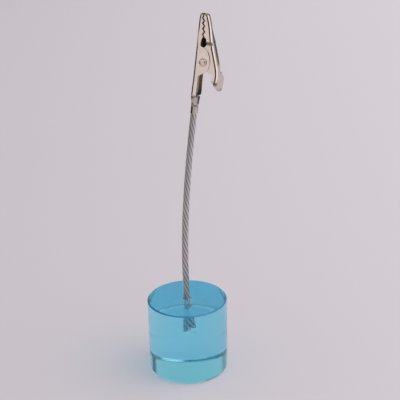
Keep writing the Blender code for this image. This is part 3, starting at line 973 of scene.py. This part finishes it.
def sheetJaw(name, node, body, side, strip):
    # two skins lie half the thickness to each side of the strip's middle surface
    nearHalf = halfStrip(strip, strip["near"])
    farHalf = halfStrip(strip, strip["far"])
    signs = (-1, 1, -1, -1, 1)  # what is counted from the middle changes sign on the near side
    across, depth, flatRun, corner, darkening = (
        np.concatenate([sign * near[:, :0:-1], far], axis=1)
        for near, far, sign in zip(nearHalf, farHalf, signs)
    )
    _, rimShare = rimCurve()
    taper = np.ones(nearHalf[0].shape[1])
    taper[-len(rimShare):] = rimShare[::-1]
    halfSheet = jaws["sheet"] / 2
    half = halfSheet * strip["thick"][:, None] * np.concatenate([taper[:0:-1], taper])[None]
    height = strip["heights"][:, None] - strip["skew"][:, None] * across

    def skin(face):
        x = strip["web"][:, None] + side * (depth + halfSheet + face * half * np.cos(corner))
        return np.stack([x, across - face * half * np.sin(corner), height], axis=-1)

    # over the outer skin and back over the inner one, which share their edges
    def bothSkins(outer, inner):
        return np.concatenate([outer, inner[:, -2:0:-1]], axis=1)

    edge = 1 - half / halfSheet
    # the inner skin gets painted shade, the outer skin the darkening of each wing
    marks = {
        "edge": bothSkins(edge, edge),
        "inside": bothSkins(darkening, jawDirtAndShade["inside"] * (1 - edge)),
    }
    points = inClip(bothSkins(skin(-1), skin(1)))
    place = np.stack([flatRun, height], axis=-1) * perMetre
    addPiece(name, node, points, nickelFinish, marks, bothSkins(place, place), body)


def mouthRows():
    # rows over the teeth, and over the notch, where they lie closer at both ends
    j = jaws
    teeth = np.linspace(j["nose"] - j["edgeRound"], teethEnd, jawRows["teeth"])[1:]
    turn = np.linspace(0.04, math.pi, jawRows["notch"])
    return np.concatenate([teeth, notchEnd + j["notch"] / 2 * (1 + np.cos(turn))])


def roundedEnds(tip, inner, tail):
    # a strip's rows with those that round off both ends, and the share of the thickness at each
    depth, share = rimCurve()
    depth = depth * jaws["edgeRound"]
    heights = np.concatenate([tip - depth, inner, tail + depth[::-1]])
    return heights, np.concatenate([share, np.ones(len(inner)), share[::-1]])


def fixedRows():
    # even rows on straight stretches, and rows by the cosine round the ear
    j, count = jaws, jawRows
    tiny = j["sliver"]
    cuts = crimpCuts
    earFrom = math.acos((notchEnd - tiny) / j["earLength"])
    inner = np.concatenate([
        mouthRows(),
        j["earLength"] * np.cos(np.linspace(earFrom, math.pi / 2, count["earAbove"])),
        j["earBelow"] * np.cos(np.linspace(math.pi / 2, math.pi, count["earBelow"]))[1:],
        np.linspace(-j["earBelow"], channelTop, count["channel"])[1:],
        np.linspace(channelTop, channelEnd + tiny, count["crimpStep"])[1:],
        np.linspace(cuts[0] - tiny, cuts[1] + tiny, count["crimpCut"]),
        np.linspace(cuts[1] - tiny, cuts[2] + tiny, count["crimp"]),
        np.linspace(cuts[2] - tiny, cuts[3] + tiny, count["crimpCut"]),
        np.linspace(cuts[3] - tiny, -j["tail"] + j["edgeRound"], count["crimp"])[:-1],
    ])
    return roundedEnds(j["nose"], inner, -j["tail"])


def makeFixedJaw():
    j = jaws
    tiny = j["sliver"]
    heights, thick = fixedRows()
    web = fixedWeb(heights)
    # the wall's free edge: mouth, notch, a half ellipse with a cut corner for the ear, channel
    foot = j["tailWall"] - j["fixedBack"]
    earReach = np.where(heights > 0, j["earLength"], j["earBelow"])
    bulge = np.sqrt(np.maximum(0, 1 - (heights / earReach) ** 2))
    cutOff = j["earCut"][0] + (heights - j["earCut"][1]) * j["earCutSlope"]
    earEdge = np.maximum(np.minimum(foot + (j["earHeight"] - foot) * bulge, cutOff), foot)
    notched = heights > notchEnd - tiny / 2
    lowEdge = np.where(heights < -j["earBelow"], web + j["tailWall"], earEdge)
    nearEdge = np.where(notched, frontEdge(heights, -1), lowEdge)
    farEdge = np.where(notched, frontEdge(heights, -1, j["farBay"]), lowEdge)
    # crimps: the strip wraps round the rope, less where it is cut
    cuts = crimpCuts
    isCrimp = heights < channelEnd
    isUpper = isCrimp & (heights > crimpMiddle)
    isCut = ((heights < cuts[0]) & (heights > cuts[1])) | ((heights < cuts[2]) & (heights > cuts[3]))
    wrap = np.where(isUpper, j["upperWrap"], j["lowerWrap"])
    wrap = np.where(isCut, j["notchWrap"], wrap)
    radius = crimpRadius + eased(0, j["upperLoose"], crimpMiddle, crimpTop, heights)
    crimpWall = np.where(isUpper & ~isCut, j["upperWall"], tiny * 2)
    # a darker tone on the crimps, and darker just below the tip
    darkening = np.where(isCrimp, jawDirtAndShade["crimp"], tipDarkening(heights))
    near = {
        "wall": np.where(isCrimp, crimpWall, np.abs(nearEdge - web) - j["bend"]),
        "fold": np.where(isCrimp, wrap, math.pi / 2),
        "darkening": [darkening] * 4,
    }
    far = {**near, "wall": np.where(isCrimp, crimpWall, np.abs(farEdge - web) - j["bend"])}
    middle = j["sheet"] / 2
    sheetJaw("toothed_jaw", "fixed_jaw", "stand", 1, {
        "heights": heights,
        "thick": thick,
        "web": np.where(isCrimp, -j["ropeOffset"] - radius, web),
        "flat": np.where(isCrimp, tiny, jawHalf(heights) - j["bend"]),
        "bend": np.where(isCrimp, (radius - middle) * wrap, (j["bend"] - middle) * math.pi / 2),
        "near": near,
        "far": far,
        "skew": eased(0, j["tailSkew"], -j["earBelow"], -2 * j["earBelow"], heights),
    })


def movingRows():
    # even rows on straight stretches, and rows by the cosine or sine round the inner ear and the pad
    j, count = jaws, jawRows
    tiny = j["sliver"]
    padRows = padArc - j["padRound"] * np.sin(np.linspace(0, math.pi / 2, count["pad"]))
    padLow = -j["padEnd"] + j["edgeRound"]
    inner = np.concatenate([
        mouthRows(),
        np.linspace(notchEnd, j["innerEar"] + tiny, count["joggle"])[1:],
        j["innerEar"] * np.cos(np.linspace(0.02, math.pi - 0.02, count["innerEar"])),
        np.linspace(-j["innerEar"] - tiny, -j["leverFrom"], count["leverRise"]),
        np.linspace(-j["leverFrom"], -j["nick"], count["lever"])[1:],
        np.linspace(-j["nick"], nickEnd, count["nick"])[1:],
        padRows[(padRows < nickEnd - tiny) & (padRows > padLow + tiny)],
    ])
    return roundedEnds(j["nose"], inner, -j["padEnd"])


def movingEdge(heights):
    # the wall's free edge: mouth, straight to the inner ear, round it, then up to the lever
    j = jaws
    leverTop = float(leverWeb(-j["leverFrom"]))
    knots = [-j["leverFrom"], -j["leverRise"], -j["innerEar"], j["innerEar"], notchEnd]
    levels = [leverTop - j["leverWall"], 0, 0, 0, mouthLine(notchEnd) + j["mouthGap"] / 2]
    straight = np.interp(heights, knots, levels)
    inEar = np.abs(heights) < j["innerEar"]
    lobe = np.sqrt(np.maximum(0, j["innerEar"] ** 2 - heights**2))
    return np.where(heights > notchEnd, frontEdge(heights, 1), np.where(inEar, -lobe, straight))


def makeMovingJaw():
    j = jaws
    heights, thick = movingRows()
    web = leverWeb(heights)
    stepIn = j["sheet"] + j["sideClearance"]
    joggleTo = j["earLength"] + j["joggleGap"]
    step = eased(stepIn, 0, joggleTo, joggleTo + j["joggle"], heights)
    neck = eased(j["earHalf"] - stepIn, j["neckHalf"], -j["neckFrom"], -j["neckTo"], heights)
    halfWidth = np.where(heights < 0, neck, jawHalf(heights) - step)
    # lever: its walls get lower down to the nick, then open out into the pad, which ends in an arc
    bendRun = (j["bend"] - j["sheet"] / 2) * math.pi / 2
    noseWall = np.abs(movingEdge(heights) - web) - j["bend"]
    wallEnds = [j["neckWall"], j["leverWall"]]
    leverWall = np.interp(heights, [-j["nick"], -j["leverFrom"]], wallEnds) - j["bend"]
    padWall = j["padHalf"] - j["neckHalf"] + j["bend"] - bendRun
    fromNick = heights + j["nick"] + j["nickRun"] * j["nickPlace"]
    nick = np.exp(-((fromNick / (j["nickRun"] * j["nickSpread"])) ** 2))
    nearWall = eased(leverWall, padWall, -j["nick"], nickEnd, heights) * (1 - j["nickCut"] * nick)
    farWall = eased(j["sliver"] * 4, padWall, -j["wingFrom"], -j["nick"], heights)
    leaning = eased(math.pi / 2, j["neckFold"], -j["leanFrom"], -j["nick"], heights)
    past = np.clip((padArc - heights) / j["padRound"], 0, 0.9999)
    share = np.sqrt(1 - past**2)
    # painted shade in the joggle's crease
    fromCrease = heights - joggleTo - j["joggle"] / 2
    crease = np.exp(-((fromCrease / (j["joggle"] * jawDirtAndShade["creaseSpread"])) ** 4))
    # a little handling dirt on the pad, and darker just below the tip
    clean = eased(jawDirtAndShade["handled"], 0, nickEnd, -j["leverFrom"], heights) + tipDarkening(heights)
    # painted shade at the nick and in the joggle's crease
    darkenings = zip(jawDirtAndShade["nick"], jawDirtAndShade["crease"])
    near = {
        "wall": np.where(heights < -j["leverFrom"], nearWall, noseWall) * share,
        "fold": eased(leaning, j["padFold"], -j["nick"], nickEnd, heights),
        "darkening": [clean + nick * atNick + crease * atCrease for atNick, atCrease in darkenings],
    }
    far = {
        "wall": np.where(heights < -j["wingFrom"], farWall, noseWall) * share,
        "fold": eased(math.pi / 2, j["padFold"], -j["wingFrom"], -j["wingFrom"] - j["wingRun"], heights),
        "darkening": [clean] * 4,
    }
    sheetJaw("lever_jaw", "moving_jaw", "jaw", -1, {
        "heights": heights,
        "thick": thick,
        "web": web,
        "flat": (halfWidth - j["bend"]) * share,
        "bend": bendRun * share,
        "near": near,
        "far": far,
        "skew": eased(0, j["padSkew"], -j["neckTo"], -j["padEnd"], heights),
    })


# Rivet
rivet = {
    "pin": 0.00075,
    "head": 0.0014,
    "headHeight": 0.00042,
    "headGap": 0.00003,
    "shoulder": (0.97, 0.45),  # where the rolled edge turns in, as shares of the head's radius and height
    "groove": 0.00085,
    "grooveDepth": 0.00005,
    "dome": 0.00001,  # how far the middle stands above the rolled edge
    "domeShoulder": (0.5, 0.7),  # a place on the dome, as shares of the groove's radius and the dome
    "roundings": [0.00004, 0.00006, 0.00012, 0.0001, 0.00005, 0.0006],
    "rimShadeTo": 0.7,  # painted shade lies round the head up to this share of its height
    "sides": 64,
}


def makeRivet():
    # half the outline goes round the pin's axis, and again mirrored for the far head
    r = rivet
    seat = jaws["earHalf"] + r["headGap"]
    crest = seat + r["headHeight"]
    half = roundedProfile(
        [
            (r["pin"], 0),
            (r["pin"], seat),
            (r["head"], seat),
            (r["head"] * r["shoulder"][0], seat + r["headHeight"] * r["shoulder"][1]),
            ((r["head"] + r["groove"]) / 2, crest),
            (r["groove"], crest - r["grooveDepth"]),
            (r["groove"] * r["domeShoulder"][0], crest + r["dome"] * r["domeShoulder"][1]),
            (0, crest + r["dome"]),
        ],
        r["roundings"],
    )
    profile = np.concatenate([half[:0:-1] * [1, -1], half])
    upright = turnedRings(profile, r["sides"])
    rings = inClip(upright[..., [0, 2, 1]])
    # painted shade round the head's rolled rim
    marks = {"seam": (np.abs(profile[:, 1]) < seat + r["headHeight"] * r["rimShadeTo"])[:, None]}
    addPiece("rolled_rivet", "pivot_rivet", rings, rivetSteel(), marks)


# Spring
spring = {
    "wire": 0.0005,
    "diameter": 0.0028,
    "turns": 2,
    "sideGap": 0.00025,
    "legGap": 0.00006,
    "fixedLeg": 0.0065,
    "movingLeg": 0.0055,
    "turnPoints": 40,
    "legPoints": 12,
    "surfaceStep": 0.2,  # millimetres from ring to ring on the flat surface
    "sides": 14,
}


def springPath(side):
    # a helix about the rivet, r cos a, its share of the width, r sin a, with a straight leg at each end
    s = spring
    coil = s["diameter"] / 2
    offWeb = jaws["sheet"] + s["legGap"] + s["wire"] / 2
    fixedFoot = np.array([offWeb - jaws["fixedBack"], -s["fixedLeg"]])
    movingFoot = np.array([float(leverWeb(-s["movingLeg"])) - offWeb, -s["movingLeg"]])

    # where a straight leg meets the coil: the foot's bearing plus or minus acos(r / distance)
    def meets(foot, sign):
        return math.atan2(foot[1], foot[0]) + sign * math.acos(coil / math.hypot(*foot))

    begin, end = meets(fixedFoot, -1), meets(movingFoot, 1)
    wound = (begin - end) % math.tau + math.tau * s["turns"]
    share = np.linspace(0, 1, round(wound / math.tau * s["turnPoints"]) + 1)
    angle = begin - wound * share
    curls = np.stack([coil * np.cos(angle), side * (2 * share - 1), coil * np.sin(angle)], axis=-1)
    leg = np.linspace(0, 1, s["legPoints"], endpoint=False)[:, None]
    first = np.array([fixedFoot[0], -side, fixedFoot[1]])
    last = np.array([movingFoot[0], side, movingFoot[1]])
    firstLeg = first + (curls[0] - first) * leg
    lastLeg = last + (curls[-1] - last) * leg
    return np.concatenate([firstLeg, curls, lastLeg[::-1]])


def makeSpring():
    # a circle is carried along the spring's path
    s = spring
    side = jaws["earHalf"] - 2 * jaws["sheet"] - jaws["sideClearance"] - s["sideGap"] - s["wire"] / 2
    path = springPath(side)
    turn = np.arange(s["sides"]) / s["sides"] * math.tau
    circle = np.stack([np.cos(turn), np.sin(turn)], axis=-1)[None] * s["wire"] / 2
    normal = np.broadcast_to([0.0, 1.0, 0.0], path.shape)
    rings = capped(inClip(tubeRings(path, normal, np.repeat(circle, len(path), axis=0))))
    along = np.arange(len(rings))[:, None] * s["surfaceStep"]
    surface = np.stack(np.broadcast_arrays(turn[None] / math.tau, along), axis=-1)
    finish = springSteel()
    piece = addPiece("wound_spring", "jaw_spring", rings, finish, None, surface, None)
    reach = side - s["wire"] / 2
    pivot - rivetAxis * reach
    pivot + rivetAxis * reach
    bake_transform(piece)


# Stage: pale floor, soft boxes, and cards that only show in gloss and glass
stage = {
    "floorSize": 8.0,
    "floorDrop": 0.00004,
    "floorColour": tint(0.70, 0.665, 0.712),
    "mottleColour": tint(0.73, 0.68, 0.72),
    "mottle": 35.0,
    "mottleShare": 0.25,
    "floorRough": 0.8,
    "floorShine": 0.1,
    "backSky": tint(0.58, 0.590, 0.565),
    "backSpan": (0.0, 0.4),
    "frontSky": tint(0.70, 0.645, 0.635),
    "highSky": tint(0.37, 0.35, 0.365),
    "highSpan": (0.50, 0.75),
    "cardSteps": 24,
    "cardFade": 0.35,  # a soft card fades out over this share of its length at both ends
}
softBoxes = {
    "key": {
        "place": (0.60, -0.10, 0.70),
        "aim": (0, 0.10, 0),
        "size": (1.0, 1.0),
        "watts": 4.4,
        "inGloss": True,
        "shadow": True,
    },
    "far": {
        "place": (0.50, 1.10, 0.90),
        "aim": (0.15, 0.8, 0),
        "size": (1.0, 1.0),
        "watts": 4.8,
        "inGloss": False,
        "shadow": False,
    },
}
# the part of the key that shows in glass: its sides from the key's middle, and its glow
window = {"left": -0.5, "right": 0.17, "low": -0.17, "high": 0.5, "glow": tint(5.0, 1.5, 1.2)}
# bearings from +X towards +Y in degrees, then distance, foot, head, glow and what shows the card
cards = {
    "left": (140, 212, 0.36, 0.0, 0.13, tint(0.03, 0.03, 0.03), "gloss glass"),
    "leftNear": (140, 212, 0.20, 0.04, 0.16, tint(0.03, 0.03, 0.03), "gloss"),
    "leftAbove": (137, 165, 0.36, 0.13, 0.26, tint(0.27, 0.27, 0.27), "glass soft"),
    "backLeft": (108, 140, 0.30, 0.0, 0.10, tint(0.03, 0.03, 0.03), "gloss glass"),
    "frontLeft": (213, 242, 0.20, 0.06, 0.26, tint(0.745, 0.68, 0.67), "gloss"),
    "front": (242, 312, 0.44, 0.02, 0.44, tint(0.02, 0.02, 0.02), "gloss"),
    "rightLight": (-40, 35, 0.45, 0.0, 0.34, tint(1.05, 1.0, 0.96), "gloss"),
    "right": (20, 37, 0.36, 0.0, 0.13, tint(0.02, 0.02, 0.02), "glass soft"),
    "rightAbove": (18, 44, 0.36, 0.13, 0.26, tint(0.08, 0.08, 0.08), "glass soft"),
    "backRight": (40, 62, 0.30, 0.0, 0.077, tint(0.42, 0.38, 0.39), "glass"),
    "backRightPale": (40, 62, 0.30, 0.0, 0.077, tint(0.555, 0.505, 0.515), "gloss"),
    "rightPale": (35, 42, 0.30, 0.077, 0.20, tint(0.62, 0.58, 0.55), "gloss"),
    "backRightAbove": (42, 80, 0.30, 0.077, 0.24, tint(0.08, 0.07, 0.07), "gloss"),
}


def facing(place, aim):
    # a frame at the place whose -Z looks at the aim
    turn = (Vector(aim) - Vector(place)).to_track_quat("-Z", "Y").to_matrix().to_4x4()
    return Matrix.Translation(place) @ turn


def addSheet(name, points, finish):
    mesh = bpy.data.meshes.new(name)
    mesh.from_pydata(points.reshape(-1, 3).tolist(), [], gridFaces(*points.shape[:2], False).tolist())
    mesh.materials.append(finish)
    piece = bpy.data.objects.new(name, mesh)
    scene.collection.objects.link(piece)
    return piece


def addCard(name, points, glow, shownBy):
    f = newFinish(name)
    lit = f.node("ShaderNodeEmission", None, {0: glow})
    card = addSheet(name, points, f.output(f.mixed(f.attribute("solid"), f.transparent(), lit)))
    share = np.linspace(0, 1, points.shape[1])
    solid = np.ones(len(share))
    if "soft" in shownBy:
        solid = np.clip(np.minimum(share, 1 - share) / stage["cardFade"], 0, 1)
    markPoints(card.data, "solid", np.tile(solid, len(points)))
    card.visible_camera = False
    card.visible_diffuse = False
    card.visible_shadow = False
    card.visible_glossy = "gloss" in shownBy
    card.visible_transmission = "glass" in shownBy


def makeFloor():
    s = stage
    half = s["floorSize"] / 2
    span = np.array([[[-half, -half, 0], [half, -half, 0]], [[-half, half, 0], [half, half, 0]]])
    f = newFinish("floor_paper")
    mottle = f.noise(f.objectPlace(), s["mottle"], 4.0)
    paper = f.output(f.principled({
        "Base Color": f.colours(mottle * s["mottleShare"], s["floorColour"], s["mottleColour"]),
        "Roughness": s["floorRough"],
        "Specular IOR Level": s["floorShine"],
    }))
    addSheet("floor", span - [0, 0, s["floorDrop"]], paper)


def makeCards():
    for name, (begin, end, distance, foot, head, glow, shownBy) in cards.items():
        # an upright arc about the clip: distance times the cosine and the sine of the bearing
        bearing = np.radians(np.linspace(begin, end, stage["cardSteps"]))
        arc = np.stack([pivot[0] + distance * np.cos(bearing), distance * np.sin(bearing)], axis=-1)
        rows = [np.column_stack([arc, np.full(len(arc), level)]) for level in (foot, head)]
        addCard("card_" + name, np.stack(rows), glow, shownBy)
    atKey = np.array(facing(softBoxes["key"]["place"], softBoxes["key"]["aim"]))
    x, y = np.meshgrid([window["left"], window["right"]], [window["low"], window["high"]])
    spots = np.stack([x, y, 0 * x, 0 * x + 1], axis=-1)
    addCard("card_window", (spots @ atKey.T)[..., :3], window["glow"], "glass")


def makeLamps():
    for name, box in softBoxes.items():
        lamp = bpy.data.lights.new(name, "AREA")
        lamp.shape = "RECTANGLE"
        lamp.size, lamp.size_y = box["size"]
        lamp.energy = box["watts"]
        lamp.use_shadow = box["shadow"]
        piece = bpy.data.objects.new(name, lamp)
        piece.matrix_world = facing(box["place"], box["aim"])
        piece.visible_camera = False
        piece.visible_transmission = False
        piece.visible_glossy = box["inGloss"]
        scene.collection.objects.link(piece)


def makeSky():
    s = stage
    scene.world = bpy.data.worlds.new("studio")
    w = Finish(scene.world)
    towards = w.node("ShaderNodeTexCoord")
    behind = w.ramp(w.coordinate(towards, 1), *s["backSpan"])
    above = w.ramp(w.coordinate(towards, 2), *s["highSpan"])
    lowSky = w.colours(behind, s["frontSky"], s["backSky"])
    sky = w.colours(above, lowSky, s["highSky"])
    w.output(w.node("ShaderNodeBackground", None, {0: sky}))


# Camera at the photograph's place
camera = {
    "place": (-0.00437, -0.33672, 0.20558),
    "pitch": math.radians(22.109),
    "yaw": math.radians(1.714),
    "roll": math.radians(-1.29),
    "lens": 90.0,
    "sensor": 36.0,
    "clipStart": 0.01,
}


def makeCamera():
    c = camera
    data = bpy.data.cameras.new("camera")
    data.lens = c["lens"]
    data.sensor_width = c["sensor"]
    data.clip_start = c["clipStart"]
    piece = bpy.data.objects.new("camera", data)
    turn = (
        Matrix.Rotation(-c["yaw"], 4, "Z")
        @ Matrix.Rotation(math.pi / 2 - c["pitch"], 4, "X")
        @ Matrix.Rotation(c["roll"], 4, "Z")
    )
    piece.matrix_world = Matrix.Translation(c["place"]) @ turn
    scene.collection.objects.link(piece)
    scene.camera = piece


makeCamera()
makeFloor()
makeCards()
makeLamps()
makeSky()
print("stage set:", len(cards) + 1, "cards,", len(softBoxes), "lamps")
makeBlock()
makeAdhesive()
makeRope()
makeFixedJaw()
makeMovingJaw()
makeRivet()
makeSpring()
